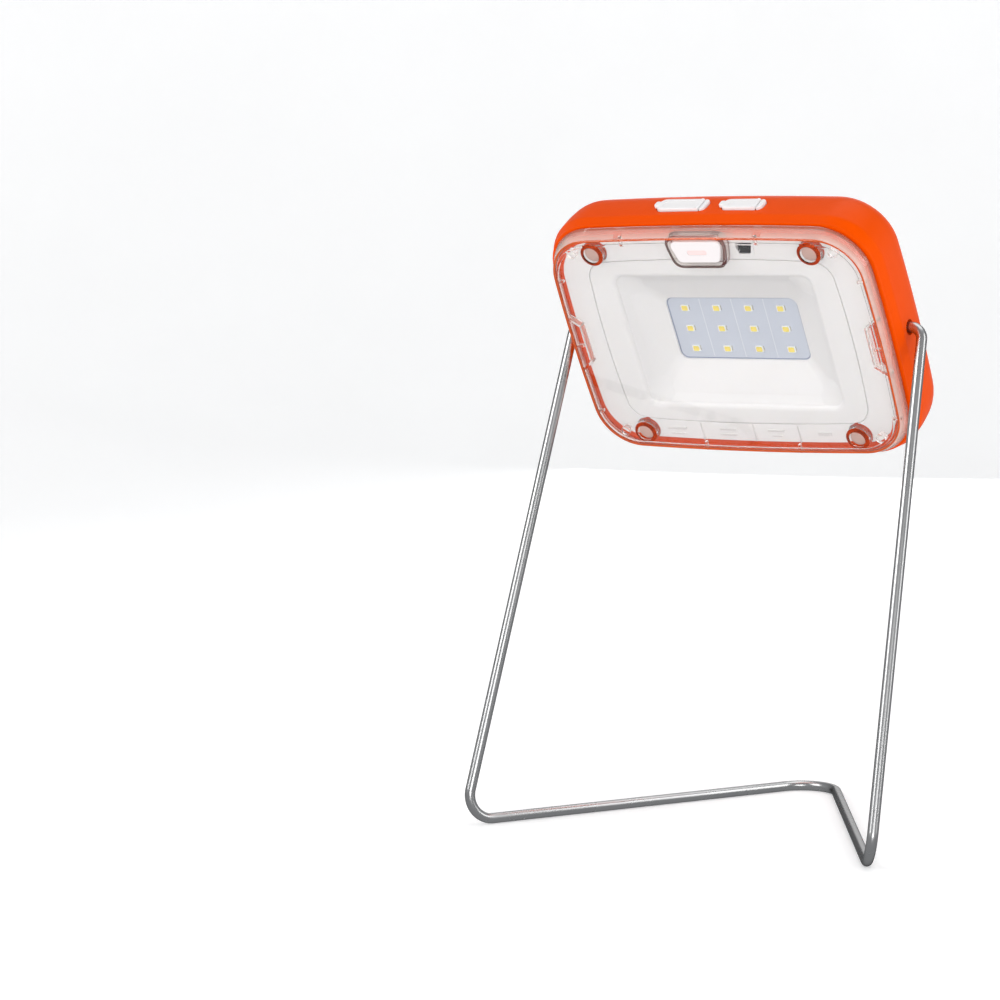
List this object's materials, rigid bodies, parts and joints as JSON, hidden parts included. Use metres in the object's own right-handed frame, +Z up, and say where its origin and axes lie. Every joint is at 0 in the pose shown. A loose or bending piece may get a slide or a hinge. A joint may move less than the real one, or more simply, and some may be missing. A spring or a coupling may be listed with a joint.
{
  "type": "solar lantern",
  "caption": "Portable lamp head with a solar panel on one side and a lensed light board on the other, tilting on a bent wire stand.",
  "frame": {"origin": "on the floor, at the middle of the whole lantern's footprint", "axes": "+Z up; X along the pivot axis that the head turns on; the lamp side faces -Y and down, the solar side +Y and up"},
  "size_m": [0.1912, 0.1434, 0.2629],
  "materials": {
    "orange_shell": "satin moulded orange plastic",
    "stand_wire": "polished stainless wire",
    "spring_steel": "plain",
    "black_nylon": "plain",
    "panel_laminate": "black laminate",
    "silicon_cell": "dark silicon",
    "clear_film": "clear glossy",
    "foam_tape": "foam",
    "white_plastic": "satin white",
    "led_board": "pale solder mask on aluminium",
    "led_package": "white",
    "led_phosphor": "yellow phosphor",
    "clear_lens": "clear polished",
    "silicone_seal": "matte",
    "zinc_screw": "plain",
    "plug_disc": "pale",
    "white_button": "satin white",
    "indicator": "translucent red, unlit",
    "circuit_board": "green solder mask",
    "component_black": "plain",
    "port_steel": "nickel plated",
    "white_rubber": "matte white",
    "battery_wrap": null,
    "nickel": "plain",
    "lead_sheath": "insulated lead"
  },
  "bodies": {
    "stand": {"wire_stand": "stand_wire", "wire_retainers": "spring_steel"},
    "head": {"housing": "orange_shell", "pivot_bushes": "black_nylon", "solar_panel_board": "panel_laminate", "solar_cells": "silicon_cell", "panel_film": "clear_film", "panel_tape": "foam_tape", "reflector": "white_plastic", "led_board": "led_board", "led_packages": "led_package", "led_phosphors": "led_phosphor", "lens": "clear_lens", "lens_gasket": "silicone_seal", "lens_screws": "zinc_screw", "screw_plugs": "plug_disc", "main_board": "circuit_board", "board_screws": "zinc_screw", "board_components": "component_black", "power_switch": "component_black", "switch_plunger": "component_black", "usb_a_shell": "port_steel", "usb_a_tongue": "component_black", "type_c_shell": "port_steel", "type_c_tongue": "component_black", "socket_riser": "component_black", "input_socket": "component_black", "input_socket_core": "component_black", "usb_cover_anchor": "white_rubber", "type_c_cover_anchor": "white_rubber", "battery_cell": "battery_wrap", "battery_tabs": "nickel", "battery_pads": "foam_tape", "battery_leads": "lead_sheath", "solar_leads": "lead_sheath", "led_leads": "lead_sheath"},
    "button": {"power_button": "white_button", "button_indicator": "indicator"},
    "usb_flap": {"usb_cover": "white_rubber"},
    "type_c_flap": {"type_c_cover": "white_rubber"}
  },
  "joints": [
    {"name": "head_tilt", "type": "hinge", "parent": "stand", "child": "head", "pos_m": [0, -0.00085, 0.209], "axis": [1, 0, 0], "continuous": true},
    {"name": "button_press", "type": "slide", "parent": "head", "child": "button", "axis": [0, 0.866, 0.5], "range_m": [0, 0.0008], "stiffness_N_per_m": 1200, "springref_m": -0.0002},
    {"name": "usb_cover_hinge", "type": "hinge", "parent": "head", "child": "usb_flap", "pos_m": [-0.0039, -0.0295, 0.25862], "axis": [0, 0.866, 0.5], "range_deg": [0, 110]},
    {"name": "type_c_cover_hinge", "type": "hinge", "parent": "head", "child": "type_c_flap", "pos_m": [0.0222, -0.0295, 0.25862], "axis": [0, 0.866, 0.5], "range_deg": [0, 110]}
  ]
}
